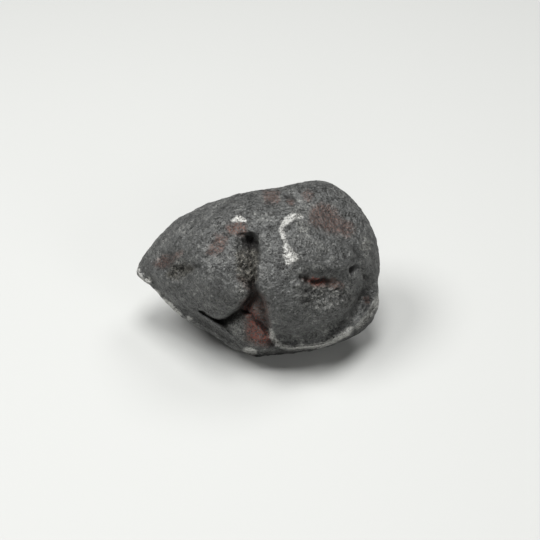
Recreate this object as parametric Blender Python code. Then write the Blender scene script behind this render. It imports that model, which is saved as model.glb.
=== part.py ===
# Iron meteorite: one solid lump of weathered iron, 60 mm long, with a deep cleft across its broad face.
#
# The broad face is shaped first, in a frame of its own: u runs along the stone, v up the face
# and w straight out of the face. The lump is then leaned back until the face looks up at
# FACE_LOOKS_UP degrees and its lowest part is taken off as a small flat spot to rest on.
# Design sizes are millimetres and the finished mesh is scaled to metres.

import math
from collections import namedtuple

import bmesh
import bpy
import numpy as np
from mathutils import Vector, noise

MM = 0.001

# Driving sizes of the body.
FACE_CROWN = 14.0
BACK_CROWN = 16.0
EDGE_SQUARENESS = 2.3
FACE_LOOKS_UP = 45.0
RESTING_HEIGHT = -22.6
SPHERE_STEPS = 7
WEAR_PASSES = 1
SOLID_TRIANGLES = 9400

# The broad face's outline, walked from the pointed end over the top: (u, v).
OUTLINE = [
    (-30.3, 0.3), (-29.6, 2.4), (-27.6, 5.0), (-25.0, 8.2), (-21.6, 11.6), (-18.2, 13.9),
    (-9.4, 17.4), (-0.5, 19.4), (5.4, 20.4), (8.6, 21.4), (11.6, 22.0), (16.5, 21.9),
    (21.2, 19.4), (26.4, 13.3), (29.1, 7.6), (30.1, 2.0), (29.4, -4.2), (29.9, -8.0),
    (28.6, -11.8), (26.4, -14.7), (22.8, -17.3), (18.5, -18.8), (8.1, -21.1), (0.2, -21.8),
    (-3.4, -20.9), (-6.8, -19.3), (-14.0, -14.9), (-19.5, -11.2), (-26.2, -5.0), (-28.9, -2.6),
    (-30.1, -1.2),
]

# How the edge of the lump is formed in eight directions round the face, in degrees from +u.
Edge = namedtuple("Edge", "towards rim_w face_round back_round")
EDGES = [
    Edge(0, -4.5, 10, 10),
    Edge(45, -4, 9, 9),
    Edge(90, -3, 8, 10),
    Edge(135, -4, 8, 9),
    Edge(180, -7, 7, 6),
    Edge(215, -7, 5, 9),
    Edge(270, -9.5, 10, 12),
    Edge(315, -8, 12, 12),
]

# Swells and hollows: centre, half-widths, turn in degrees, and rise. Hollows have a negative rise.
Swell = namedtuple("Swell", "name u v along across turn rise")
FACE_SWELLS = [
    Swell("left lobe", -12.0, -2.0, 8.5, 7.0, 20, 1.8),
    Swell("lip of the left lobe", -8.0, -6.5, 5.0, 3.6, -25, 1.5),
    Swell("upper left shoulder", -12.0, 9.0, 8.0, 5.0, 25, 0.8),
    Swell("right lobe beside the cleft", 6.0, -6.0, 5.0, 8.5, 0, 1.8),
    Swell("right lobe above the cleft", 3.0, 8.0, 4.0, 6.0, 10, 0.6),
    Swell("thumbprint near the point", -19.8, 1.6, 5.6, 3.4, -30, -1.5),
    Swell("thumbprint floor", -18.6, -0.4, 2.8, 1.5, 18, -1.2),
    Swell("reddish dip in the thumbprint", -23.4, 2.6, 2.4, 1.8, -20, -0.7),
    Swell("hollow above the boss", 16.6, 13.4, 6.0, 3.0, -30, -1.9),
    Swell("hollow below the boss", 17.0, -5.2, 6.0, 3.4, 0, -1.5),
    Swell("saddle on the top edge", 3.6, 16.0, 3.2, 5.0, 0, -1.0),
    Swell("ground above the cleft", -4.6, 10.5, 3.4, 2.4, 0, -0.9),
    Swell("pit near the top", 7.6, 17.8, 2.0, 1.0, -5, -1.5),
    Swell("shallow patch near the top", 2.8, 18.0, 2.2, 1.4, 0, -0.5),
    Swell("small pit near the top", -1.2, 17.9, 0.8, 0.6, 0, -0.5),
    Swell("right shoulder", 25.5, 6.0, 4.0, 6.0, 0, 0.7),
    Swell("hollow on the right flank", 26.2, -6.5, 3.0, 7.0, -18, -3.4),
    Swell("knob at the lower right", 19.0, -10.2, 5.0, 3.2, -10, 1.5),
]

# The cleft is the sunken ground between its right wall and the edge of the left lobe.
CLEFT_WALL = [
    (-5.8, 8.9), (-4.0, 9.5), (-1.9, 8.9), (-0.5, 7.0), (0.0, 2.2), (-0.6, -2.0), (-0.1, -4.4),
    (1.1, -7.4), (2.2, -11.3), (2.7, -14.5), (3.1, -18.1),
]
CLEFT_MOUTH = [(0.9, -22.6), (-4.5, -21.9), (-8.9, -19.4), (-13.1, -16.6), (-16.6, -13.6), (-17.8, -11.4)]
CLEFT_LOBE_EDGE = [
    (-15.6, -10.0), (-13.4, -10.8), (-11.1, -11.7), (-8.5, -11.5), (-6.0, -9.6), (-3.8, -7.8),
    (-2.8, -5.9), (-3.8, -3.8), (-5.2, -2.0), (-6.4, 1.5), (-6.8, 5.1), (-6.9, 7.4), (-5.8, 8.9),
]
CLEFT_FLOOR = [(12.0, 2.0), (7.0, 3.2), (0.0, 3.0), (-5.0, 3.4), (-11.0, 2.8), (-17.0, 1.5), (-22.0, 0.0)]
CLEFT_WALL_RUN = 1.0
LOBE_OVERHANG_DEPTH = 4.0
LOBE_OVERHANG_WIDTH = 1.3
CLEFT_PIT = Swell("pit at the head of the cleft", -2.4, 6.3, 2.3, 2.0, -40, -2.2)
WALL_ROLL = (1.5, 1.1)
LOBE_ROLL = (3.2, 1.7)

# A boss stands on the right lobe, steepest at its lower left.
BOSS = [
    (6.2, 8.6), (7.0, 11.3), (9.4, 12.7), (12.4, 11.5), (16.8, 9.6), (20.7, 8.1), (23.6, 5.6),
    (24.1, 2.2), (22.4, -0.2), (18.7, -1.7), (14.6, -1.7), (10.9, -0.2), (8.2, 2.2), (6.5, 5.4),
]
BOSS_RISE = 1.3
BOSS_SLOPE = 2.2

# The lower rim: a scuffed lip with a hollowed wall above it and an under layer below it.
RIM = [
    (-38.0, -6.0), (-21.0, -13.0), (-9.0, -20.4), (-4.0, -21.2), (0.5, -20.6), (3.6, -19.3), (5.5, -18.5),
    (8.0, -18.9), (12.6, -18.3), (16.3, -17.6), (18.7, -16.1), (21.2, -14.9), (22.9, -13.4),
    (24.9, -12.0), (26.8, -10.0), (28.6, -6.4), (30.4, -3.4), (38.0, 0.0),
]
RIM_STEP = 3.0
RIM_STEP_RUN = 1.0
RIM_LIP = 0.7
RIM_WALL_HOLLOW = 3.4
RIM_WALL_BELOW_LOBE = 2.8

# Cracks and grooves: points along them on the face, half-width and depth.
Groove = namedtuple("Groove", "name points half_width depth")
GROOVES = [
    Groove("crack below the boss", [(10.2, -1.2), (11.6, -2.2), (13.6, -3.2), (15.8, -3.0), (18.3, -2.3),
                                    (20.0, -2.1)], 1.0, 1.3),
    Groove("groove on the right shoulder", [(24.1, 0.6), (25.2, -0.4), (26.3, -2.5), (26.6, -5.0)], 1.1, 1.2),
    Groove("crescent edge of the thumbprint", [(-21.2, -1.4), (-19.0, -2.0), (-16.6, 0.2), (-14.8, 1.4)], 0.9, 0.7),
    Groove("crack at the reddish ledge", [(-12.0, 4.9), (-9.9, 7.1), (-7.6, 6.9)], 1.0, 0.5),
]

# The underside is full, to stand on.
BELLY = [
    Swell("foot", 3.0, -9.5, 15.0, 7.5, 0, 4.6),
    Swell("heel", 7.0, 1.0, 14.0, 8.0, 0, 1.5),
]

# Thumbprints of the back, meeting at ridges: the direction round the face and how far behind
# its rim the middle of each lies, in degrees, then half-width and depth.
Thumbprint = namedtuple("Thumbprint", "towards behind half_width depth")
THUMBPRINTS = [
    Thumbprint(84, 36, 8.2, 2.1),
    Thumbprint(119, 42, 6.6, 1.8),
    Thumbprint(50, 38, 7.0, 2.0),
    Thumbprint(150, 36, 6.0, 1.5),
    Thumbprint(16, 36, 6.0, 1.7),
    Thumbprint(181, 42, 6.8, 1.7),
    Thumbprint(102, 66, 7.6, 1.9),
    Thumbprint(42, 66, 7.2, 1.8),
    Thumbprint(214, 36, 5.4, 1.3),
    Thumbprint(340, 50, 6.0, 1.5),
]


# Where the noise is read for the three parts of a wandering place.
NOISE_SHIFTS = [(0, 0, 0), (31, 5, 2), (3, 29, 7)]


def smooth_step(low, high, value):
    share = np.clip((value - low) / (high - low), 0.0, 1.0)
    return share * share * (3.0 - 2.0 * share)


def bell(value, width):
    return np.exp(-((value / width) ** 2))


def rounded(points, closed, steps=6):
    """A smooth curve through the points, as an array of (u, v)."""
    points = np.array(points, float)
    count = len(points)
    made = []
    for i in range(count if closed else count - 1):
        if closed:
            a, b, c, d = (points[(i + k) % count] for k in (-1, 0, 1, 2))
        else:
            a, b, c, d = (points[min(max(i + k, 0), count - 1)] for k in (-1, 0, 1, 2))
        for t in np.arange(steps) / steps:
            bend = (2 * a - 5 * b + 4 * c - d) * t**2 + (3 * b - a - 3 * c + d) * t**3
            made.append(0.5 * (2 * b + (c - a) * t + bend))
    if not closed:
        made.append(points[-1])
    return np.array(made)


def distance_to(curve, u, v, closed=False):
    """Distance from each place (u, v) to the curve."""
    nearest = np.full(len(u), np.inf)
    ends = np.roll(curve, -1, axis=0) if closed else curve[1:]
    for start, end in zip(curve, ends):
        run = end - start
        du = u - start[0]
        dv = v - start[1]
        share = np.clip((du * run[0] + dv * run[1]) / max(run @ run, 1e-9), 0, 1)
        nearest = np.minimum(nearest, np.hypot(du - share * run[0], dv - share * run[1]))
    return nearest


def is_inside(curve, u, v):
    inside = np.zeros(len(u), bool)
    for start, end in zip(curve, np.roll(curve, -1, axis=0)):
        rise = end[1] - start[1]
        if abs(rise) > 1e-12:
            crosses = (start[1] > v) != (end[1] > v)
            inside ^= crosses & (u < start[0] + (v - start[1]) * (end[0] - start[0]) / rise)
    return inside


def swell_height(swell, u, v):
    turn = math.radians(swell.turn)
    du, dv = u - swell.u, v - swell.v
    along = du * math.cos(turn) + dv * math.sin(turn)
    across = dv * math.cos(turn) - du * math.sin(turn)
    return swell.rise * bell(along, swell.along) * bell(across, swell.across)


def round_the_face(angle, values):
    """A smooth value at each angle from the values of the EDGES table."""
    towards = [edge.towards for edge in EDGES]
    towards = np.array([towards[-2] - 360, towards[-1] - 360] + towards + [towards[0] + 360, towards[1] + 360])
    values = np.array(values[-2:] + values + values[:2], float)
    curve = rounded(np.column_stack((towards, values)), closed=False)
    return np.interp(angle, curve[:, 0], curve[:, 1])


def outline_reach(angle):
    """Distance from the centre of the face to its outline, and the same with the corners smoothed away."""
    outline = rounded(OUTLINE, closed=True)
    outline_angle = np.degrees(np.arctan2(outline[:, 1], outline[:, 0])) % 360
    all_angles = np.arange(0, 360, 1.0)
    reach = np.interp(all_angles, outline_angle, np.hypot(*outline.T), period=360)
    spread = bell(np.minimum(all_angles, 360 - all_angles), 22.0)
    smooth = np.real(np.fft.ifft(np.fft.fft(reach) * np.fft.fft(spread / spread.sum())))
    exact = np.interp(angle, outline_angle, np.hypot(*outline.T), period=360)
    return exact, np.interp(angle, all_angles, smooth, period=360)


def body(directions):
    """The lump without relief, from directions on a unit sphere."""
    x, y, z = directions.T
    angle = np.degrees(np.arctan2(y, x)) % 360
    reach, smooth_reach = outline_reach(angle)
    sine = np.hypot(x, y)
    squared = (sine**EDGE_SQUARENESS + abs(z) ** EDGE_SQUARENESS) ** (-1 / EDGE_SQUARENESS)
    out = sine * squared
    even_out = np.minimum(out * (reach / smooth_reach) ** (1 - out**4), 1.0)
    height = (1 - even_out**EDGE_SQUARENESS) ** (1 / EDGE_SQUARENESS)
    rim = round_the_face(angle, [edge.rim_w for edge in EDGES])
    face_round = round_the_face(angle, [edge.face_round for edge in EDGES])
    back_round = round_the_face(angle, [edge.back_round for edge in EDGES])
    face = FACE_CROWN - (FACE_CROWN - rim - face_round) * even_out**2 - face_round * (1 - height)
    back = -BACK_CROWN + (BACK_CROWN + rim - back_round) * even_out**2 + back_round * (1 - height)
    safe = np.maximum(sine, 1e-9)
    return reach * out * x / safe, reach * out * y / safe, np.where(z >= 0, face, back)


def rolled_edge(gap, width, drop):
    """How far a rounded shoulder of this width has dropped at a gap from the foot of its wall."""
    share = np.clip(1 - gap / width, 0, 1)
    return drop * (1 - np.sqrt(1 - share**2.5))


def cleft_relief(u, v):
    wall = rounded(CLEFT_WALL, closed=False)
    lobe_edge = rounded(CLEFT_LOBE_EDGE, closed=False)
    ground = np.vstack((wall, rounded(CLEFT_MOUTH, closed=False), lobe_edge))
    inside = is_inside(ground, u, v)
    from_wall = distance_to(wall, u, v)
    from_lobe = distance_to(lobe_edge, u, v)
    lobe_run = 0.9 + 2.8 * smooth_step(-4.0, -0.5, v)
    levels = np.array(CLEFT_FLOOR[::-1])
    depth = np.interp(v, levels[:, 0], levels[:, 1])
    sunk = depth * smooth_step(0, CLEFT_WALL_RUN, from_wall) * smooth_step(0, lobe_run, from_lobe)
    overhung = smooth_step(-4.0, -7.0, v) * smooth_step(-16.0, -12.0, u)
    under_lobe = smooth_step(0, 0.8, from_lobe) * bell(np.maximum(from_lobe - 0.8, 0), LOBE_OVERHANG_WIDTH)
    sunk += LOBE_OVERHANG_DEPTH * overhung * under_lobe * smooth_step(0, CLEFT_WALL_RUN, from_wall)
    lobe_share = smooth_step(1.0, -4.0, v)
    foot = WALL_ROLL[1] * bell(from_wall, 1.5) + LOBE_ROLL[1] * lobe_share * bell(from_lobe, 2.0)
    shoulders = rolled_edge(from_wall, *WALL_ROLL) + lobe_share * rolled_edge(from_lobe, *LOBE_ROLL)
    return -np.where(inside, sunk + foot, shoulders)


def rim_relief(u, v):
    rim = rounded(RIM, closed=False)
    above = is_inside(np.vstack((rim, [(40, 40), (-40, 40)])), u, v)
    gap = distance_to(rim, u, v)
    beyond = np.where(above, 0, gap)
    within = np.where(above, gap, 0)
    wall_share = smooth_step(1.0, 6.0, u) * smooth_step(30.0, 24.0, u)
    step = RIM_STEP * (1 - 0.7 * smooth_step(24.0, 29.0, u))
    relief = RIM_LIP * bell(gap, 0.9) - step * smooth_step(0.0, RIM_STEP_RUN, beyond)
    relief -= np.where(above, RIM_WALL_HOLLOW * wall_share * bell(within - RIM_WALL_BELOW_LOBE, 2.2), 0)
    return relief


def broad_relief(u, v):
    """Height of the broad face's swells and hollows over the smooth body."""
    return sum(swell_height(swell, u, v) for swell in FACE_SWELLS)


def sharp_relief(u, v):
    """Height of the boss, the cleft and the lower rim."""
    boss = rounded(BOSS, closed=True)
    into_boss = np.where(is_inside(boss, u, v), distance_to(boss, u, v, closed=True), 0.0)
    relief = BOSS_RISE * smooth_step(0.0, BOSS_SLOPE, into_boss)
    return relief + cleft_relief(u, v) + swell_height(CLEFT_PIT, u, v) + rim_relief(u, v)


def places_of(mesh):
    return np.array([vertex.co for vertex in mesh.verts])


def set_places(mesh, places):
    for vertex, place in zip(mesh.verts, places):
        vertex.co = place
    mesh.normal_update()


def press_thumbprints(mesh):
    """Shallow uneven bowls, sunk along each place's own normal."""
    places = places_of(mesh)
    wander = [[noise.noise(Vector(place) / 7.0 + Vector(shift)) for shift in NOISE_SHIFTS] for place in places]
    uneven = places + 1.6 * np.array(wander)
    normals = np.array([vertex.normal for vertex in mesh.verts])
    towards = np.radians([thumbprint.towards for thumbprint in THUMBPRINTS])
    behind = np.radians([thumbprint.behind for thumbprint in THUMBPRINTS])
    directions = (np.cos(towards) * np.cos(behind), np.sin(towards) * np.cos(behind), -np.sin(behind))
    middles = np.column_stack(body(np.column_stack(directions)))
    depth = np.zeros(len(places))
    for thumbprint, middle in zip(THUMBPRINTS, middles):
        gap = np.linalg.norm(uneven - middle, axis=1) / thumbprint.half_width
        depth = np.maximum(depth, thumbprint.depth * np.maximum(1 - gap**2, 0) ** 1.3)
    set_places(mesh, places - normals * depth[:, None])


def carve_grooves(mesh):
    places = places_of(mesh)
    u, v, w = places.T
    depth = np.zeros(len(u))
    normals = np.array([vertex.normal for vertex in mesh.verts])
    for groove in GROOVES:
        gap = distance_to(rounded(groove.points, closed=False), u, v)
        depth = np.maximum(depth, groove.depth * (1 - smooth_step(0, groove.half_width, gap)))
    set_places(mesh, places - normals * (depth * (w > -4))[:, None])


def weather(mesh):
    """Low undulation all over, along each place's own normal."""
    places = places_of(mesh)
    normals = np.array([vertex.normal for vertex in mesh.verts])
    lift = []
    for place in places:
        broad = noise.noise(Vector(place) / 8.0)
        small = noise.noise(Vector(place) / 2.8 + Vector((7, 3, 1)))
        lift.append(0.55 * broad + 0.2 * small)
    set_places(mesh, places + normals * np.array(lift)[:, None])


def stand_up(mesh):
    """Leans the face back, with +Z up and +X along the stone, still in millimetres."""
    lean = math.radians(FACE_LOOKS_UP)
    u, v, w = places_of(mesh).T
    y = v * math.sin(lean) - w * math.cos(lean)
    z = v * math.cos(lean) + w * math.sin(lean)
    set_places(mesh, np.column_stack((u, y, z)))


def dense_stone(steps):
    mesh = bmesh.new()
    bmesh.ops.create_icosphere(mesh, subdivisions=steps, radius=1.0)
    directions = places_of(mesh)
    u, v, w = body(directions)
    towards_face = directions[:, 2]
    w += broad_relief(u, v) * smooth_step(-0.3, 0.3, towards_face)
    w += sharp_relief(u, v) * smooth_step(-0.15, 0.2, towards_face)
    w -= sum(swell_height(swell, u, v) for swell in BELLY) * smooth_step(0.0, -0.25, towards_face)
    set_places(mesh, np.column_stack((u, v, w)))
    press_thumbprints(mesh)
    carve_grooves(mesh)
    weather(mesh)
    for _ in range(WEAR_PASSES):
        bmesh.ops.smooth_vert(mesh, verts=mesh.verts[:], factor=0.5, use_axis_x=True, use_axis_y=True, use_axis_z=True)
    stand_up(mesh)
    return mesh


def with_fewer_faces(mesh):
    """The same stone thinned to SOLID_TRIANGLES, closest where the surface bends most."""
    data = bpy.data.meshes.new("meteorite")
    mesh.to_mesh(data)
    mesh.free()
    stone = bpy.data.objects.new("meteorite", data)
    bpy.context.scene.collection.objects.link(stone)
    thin = stone.modifiers.new("fewer faces", "DECIMATE")
    thin.ratio = SOLID_TRIANGLES / len(data.polygons)
    thinned = bmesh.new()
    thinned.from_object(stone, bpy.context.evaluated_depsgraph_get())
    stone.modifiers.remove(thin)
    return stone, thinned


def set_down(mesh):
    """Takes the lowest part off flat, then moves the middle of the base to the origin."""
    everything = mesh.verts[:] + mesh.edges[:] + mesh.faces[:]
    bmesh.ops.bisect_plane(mesh, geom=everything, plane_co=(0, 0, RESTING_HEIGHT), plane_no=(0, 0, 1), clear_inner=True)
    bmesh.ops.holes_fill(mesh, edges=[edge for edge in mesh.edges if edge.is_boundary])
    bmesh.ops.triangulate(mesh, faces=mesh.faces[:])
    places = places_of(mesh)
    middle = (places.min(axis=0) + places.max(axis=0)) / 2
    middle[2] = RESTING_HEIGHT
    set_places(mesh, (places - middle) * MM)


def weathered_iron():
    material = bpy.data.materials.new("weathered iron")
    material.use_nodes = True
    shader = material.node_tree.nodes["Principled BSDF"]
    shader.inputs["Base Color"].default_value = (0.105, 0.103, 0.096, 1)
    shader.inputs["Roughness"].default_value = 0.55
    shader.inputs["Metallic"].default_value = 0.35
    return material


def main():
    for obj in list(bpy.data.objects):
        bpy.data.objects.remove(obj)
    stone, mesh = with_fewer_faces(dense_stone(SPHERE_STEPS))
    set_down(mesh)
    mesh.to_mesh(stone.data)
    mesh.free()
    stone.data.materials.append(weathered_iron())


if __name__ == "__main__":
    main()
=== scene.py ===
# Iron meteorite on a pale table. The stone is 60 mm long and leans back, so its broad face looks up.
# Sizes are millimetres on the broad face: u along the stone, v up the face, w straight out of it.
import math
import time

import bmesh
import bpy
import numpy as np
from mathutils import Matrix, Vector, noise


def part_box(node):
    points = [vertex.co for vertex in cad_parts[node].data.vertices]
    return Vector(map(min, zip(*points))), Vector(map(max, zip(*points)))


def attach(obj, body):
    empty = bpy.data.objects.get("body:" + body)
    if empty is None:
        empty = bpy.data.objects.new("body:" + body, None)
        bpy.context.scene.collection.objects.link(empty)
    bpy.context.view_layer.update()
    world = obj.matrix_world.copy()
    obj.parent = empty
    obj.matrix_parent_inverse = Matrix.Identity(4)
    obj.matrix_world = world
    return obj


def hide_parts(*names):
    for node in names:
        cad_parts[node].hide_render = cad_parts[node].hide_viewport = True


startedAt = time.time()
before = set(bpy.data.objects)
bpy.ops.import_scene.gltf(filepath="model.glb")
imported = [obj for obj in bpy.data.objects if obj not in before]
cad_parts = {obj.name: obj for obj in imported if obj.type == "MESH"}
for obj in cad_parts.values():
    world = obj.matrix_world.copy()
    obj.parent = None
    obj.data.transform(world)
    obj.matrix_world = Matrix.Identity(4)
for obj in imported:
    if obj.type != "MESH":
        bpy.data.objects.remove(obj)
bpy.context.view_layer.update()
mm = 0.001


def say(words):
    print(f"[meteorite] {time.time() - startedAt:5.1f} s  {words}")


stoneShape = {
    "gridCuts": 125,           # per side of the cube that becomes the stone
    "gatherOnFace": 0.10,      # how far the mesh is drawn round to the broad face
    "faceCrown": 14.0,
    "backCrown": 16.0,
    "squareness": 2.3,
    "leanDegrees": 45.0,
    "restHeight": -22.6,
    "bossRise": 1.3,
    "bossSlope": 2.2,
    "cornerSmoothing": 22.0,   # degrees of the outline that are evened out towards the middle
    "broadWeather": (8.0, 0.55),    # size and height of the low swells that weather leaves
    "smallWeather": (2.8, 0.2),
}

# Outline of the broad face, walked from the pointed end over the top.
outline = [
    (-30.3, 0.3), (-29.6, 2.4), (-27.6, 5.0), (-25.0, 8.2), (-21.6, 11.6), (-18.2, 13.9),
    (-9.4, 17.4), (-0.5, 19.4), (5.4, 20.4), (8.6, 21.4), (11.6, 22.0), (16.5, 21.9),
    (21.2, 19.4), (26.4, 13.3), (29.1, 7.6), (30.1, 2.0), (29.4, -4.2), (29.9, -8.0),
    (28.6, -11.8), (26.4, -14.7), (22.8, -17.3), (18.5, -18.8), (8.1, -21.1), (0.2, -21.8),
    (-3.4, -20.9), (-6.8, -19.3), (-14.0, -14.9), (-19.5, -11.2), (-26.2, -5.0), (-28.9, -2.6),
    (-30.1, -1.2),
]

# Round the face, in degrees from +u: height of the edge, and how rounded the face and the back are there.
edgeForm = [
    (0, -4.5, 10, 10), (45, -4, 9, 9), (90, -3, 8, 10), (135, -4, 8, 9),
    (180, -7, 7, 6), (215, -7, 5, 9), (270, -8.6, 9, 12), (315, -7.5, 11, 12),
]

# Swells and hollows: u, v, half-widths along and across, turn in degrees, rise.
faceSwells = {
    "left lobe": (-12.0, -2.0, 8.5, 7.0, 20, 1.8),
    "lip of the left lobe": (-8.0, -6.5, 5.0, 3.6, -25, 1.5),
    "upper left shoulder": (-12.0, 9.0, 8.0, 5.0, 25, 0.8),
    "right lobe beside the cleft": (6.0, -6.0, 5.0, 8.5, 0, 1.8),
    "right lobe above the cleft": (3.0, 8.0, 4.0, 6.0, 10, 0.6),
    "thumbprint near the point": (-19.8, 1.6, 5.6, 3.4, -30, -1.5),
    "thumbprint floor": (-18.6, -0.3, 2.8, 1.4, 18, -1.9),
    "reddish dip in the thumbprint": (-23.4, 2.6, 2.4, 1.8, -20, -0.7),
    "hollow above the boss": (16.6, 13.4, 6.0, 3.0, -30, -2.2),
    "hollow below the boss": (17.0, -5.2, 6.0, 3.4, 0, -1.5),
    "saddle on the top edge": (3.6, 16.0, 3.2, 5.0, 0, -1.0),
    "ground above the cleft": (-4.6, 10.5, 3.4, 2.4, 0, -0.9),
    "pit near the top": (7.6, 17.8, 2.0, 1.0, -5, -1.5),
    "shallow patch near the top": (2.8, 18.0, 2.2, 1.4, 0, -0.5),
    "small pit near the top": (-1.2, 17.9, 0.8, 0.6, 0, -0.5),
    "right shoulder": (25.5, 6.0, 4.0, 6.0, 0, 0.7),
    "hollow on the right flank": (26.2, -6.5, 3.0, 7.0, -18, -3.4),
    "knob at the lower right": (19.0, -10.2, 5.0, 3.2, -10, 1.5),
}
bellySwells = {
    "foot": (3.0, -9.5, 15.0, 7.5, 0, 4.6),
    "heel": (7.0, 1.0, 14.0, 8.0, 0, 1.5),
    "front of the foot": (7.0, -15.5, 13.0, 4.6, -4, 3.4),
}
cleftPit = (-2.0, 6.4, 1.9, 1.5, -40, -3.4)

# The cleft lies between its right wall, the left lobe's edge and the low ridge at its mouth.
cleftShape = {
    "wallRun": 0.8,            # how wide the right wall is, seen from straight above
    "lobeRun": 0.8,            # the same under the left lobe
    "valleyRun": 3.8,          # added to it at the head, where the lobe slopes down
    "mouthShare": 0.25,        # how much of the floor's depth is left at the mouth
    "mouthRun": 5.0,
    "wallRoll": (1.5, 1.1),    # width and drop of the rounded edge over the wall
    "lobeRoll": (3.2, 1.7),
    "wallFoot": 1.5,
    "lobeFoot": 2.0,
    "creviceAndPaintedShade": (4.0, 1.3),     # depth and width of the crevice under the left lobe
}
cleftWall = [
    (-4.5, 8.3), (-3.3, 8.7), (-1.6, 8.6), (-0.4, 7.3), (0.0, 5.1), (0.1, 2.2), (0.0, -0.2), (-0.2, -2.5),
    (0.1, -4.0), (0.9, -5.4), (1.8, -7.1), (2.3, -9.1), (2.6, -11.5), (2.8, -13.7), (3.1, -15.7),
    (4.0, -17.6),
]
cleftLobeEdge = [
    (-13.6, -10.0), (-11.1, -11.4), (-8.7, -11.3), (-6.6, -9.9), (-4.4, -8.3), (-2.9, -6.5), (-2.3, -4.7),
    (-3.6, -3.2), (-5.0, -1.5), (-5.5, 0.7), (-5.4, 3.2), (-5.0, 5.1), (-4.9, 6.9), (-4.5, 8.3),
]
cleftMouth = [
    (3.3, -18.9), (0.9, -19.4), (-2.6, -18.9), (-4.7, -17.4), (-6.9, -15.3), (-8.9, -13.6), (-11.4, -12.1),
    (-13.6, -10.7), (-14.3, -10.2),
]
cleftFloor = [(12.0, 1.6), (7.0, 2.6), (0.0, 2.8), (-5.0, 3.4), (-11.0, 2.8), (-17.0, 1.5), (-22.0, 0.0)]

# The boss on the right lobe.
boss = [
    (6.2, 8.6), (7.0, 11.3), (9.4, 12.7), (12.4, 11.5), (16.8, 9.6), (20.7, 8.1), (23.6, 5.6),
    (24.1, 2.2), (22.4, -0.2), (18.7, -1.7), (14.6, -1.7), (10.9, -0.2), (8.2, 2.2), (6.5, 5.4),
]

# The scuffed rim low on the stone. The wall over it is hollow, narrowly by the point, broadly on the right.
rimShape = {
    "step": 2.2,
    "stepRun": 0.9,
    "lip": 0.7,
    "lipWidth": 0.8,
    "leftHollow": (1.3, 1.5, 1.0),     # depth, how far over the rim, half-width
    "rightHollow": (3.4, 2.8, 2.2),
}
rim = [
    (-33.9, 0.7), (-30.5, 0.0), (-29.3, -1.7), (-27.3, -3.9), (-24.9, -6.4), (-22.7, -8.5), (-20.0, -10.8),
    (-17.0, -12.5), (-14.3, -14.3), (-11.4, -16.4), (-8.5, -18.1), (-5.0, -19.5), (-2.1, -20.1), (0.9, -19.8),
    (3.3, -19.2), (5.5, -18.7), (8.0, -19.0), (10.9, -18.7), (13.8, -18.5), (16.3, -18.0), (18.7, -16.5),
    (21.2, -15.3), (22.9, -14.0), (24.9, -12.2), (26.6, -10.3), (28.1, -8.1), (29.0, -6.1), (30.3, -3.9),
    (33.4, -2.2),
]

# Cracks and grooves: points along them, half-width, depth.
grooves = {
    "crack below the boss": ([
        (10.4, -1.5), (11.6, -2.3), (12.9, -2.9), (14.3, -3.2), (15.8, -2.6), (17.3, -2.9),
        (18.7, -2.5)], 0.8, 1.5),
    "groove on the right shoulder": ([
        (22.4, -0.2), (23.6, 0.4), (24.6, 0.2), (25.4, -1.0), (26.3, -2.2)], 0.7, 1.3),
    "upper end of that groove": ([
        (24.4, 2.2), (24.9, 0.7)], 0.4, 0.5),
    "crescent edge of the thumbprint": ([
        (-21.2, -1.2), (-20.5, -2.1), (-19.0, -2.0), (-17.5, -0.7), (-16.0, 0.1), (-14.3, 0.7)], 0.6, 0.8),
    "crack at the reddish ledge": ([
        (-12.0, 5.3), (-11.1, 6.2), (-10.2, 7.1), (-8.2, 6.6)], 0.45, 0.5),
    "crack in the cleft's floor": ([
        (-3.3, -9.6), (-1.6, -11.5), (-0.2, -13.0), (1.3, -14.2), (2.6, -15.2)], 0.6, 1.2),
    "line inside the boss": ([
        (12.4, 10.8), (9.7, 9.3), (8.8, 7.1), (9.2, 4.9), (10.7, 3.4), (13.4, 2.0), (15.8, 0.0),
        (17.0, -1.0)], 0.4, 0.25),
    "crescent in the lower hollow": ([
        (11.4, -7.6), (12.6, -7.7), (13.8, -8.3)], 0.5, 0.9),
    "small ring in the lower hollow": ([
        (19.7, -6.9), (20.5, -6.1), (21.4, -6.5), (21.4, -7.3)], 0.4, 0.6),
    "nick in the lower hollow": ([
        (17.3, -11.4), (18.3, -11.0), (19.0, -11.5)], 0.35, 0.6),
    "seam of the under layer": ([
        (23.4, -15.3), (25.6, -13.6), (27.6, -10.9), (29.2, -7.9), (29.8, -6.0)], 0.5, 0.9),
}
ridges = {
    "light ridge under the thumbprint": ([
        (-20.5, -3.7), (-18.5, -2.5), (-16.7, -1.2), (-15.1, 0.2)], 0.5, 0.3),
    "flake at the foot of the wall": ([
        (2.9, -14.6), (3.2, -16.0), (3.9, -17.4), (5.2, -18.5)], 0.5, 0.4),
}

# Thumbprints of the back: direction round the face, degrees behind its rim, half-width, depth.
thumbprintWander = {"size": 7.0, "reach": 1.6, "shifts": ((0, 0, 0), (31.7, 5.2, 11.9), (7.1, 43.3, 23.5))}
thumbprints = [
    (84, 36, 8.2, 2.1), (119, 42, 6.6, 1.8), (50, 38, 7.0, 2.0), (150, 36, 6.0, 1.5), (16, 36, 6.0, 1.7),
    (181, 42, 6.8, 1.7), (102, 66, 7.6, 1.9), (42, 66, 7.2, 1.8), (214, 36, 5.4, 1.3), (340, 50, 6.0, 1.5),
]


def smoothStep(low, high, value):
    share = np.clip((value - low) / (high - low), 0.0, 1.0)
    return share * share * (3.0 - 2.0 * share)


def bell(value, width):
    return np.exp(-((value / width) ** 2))


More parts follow.
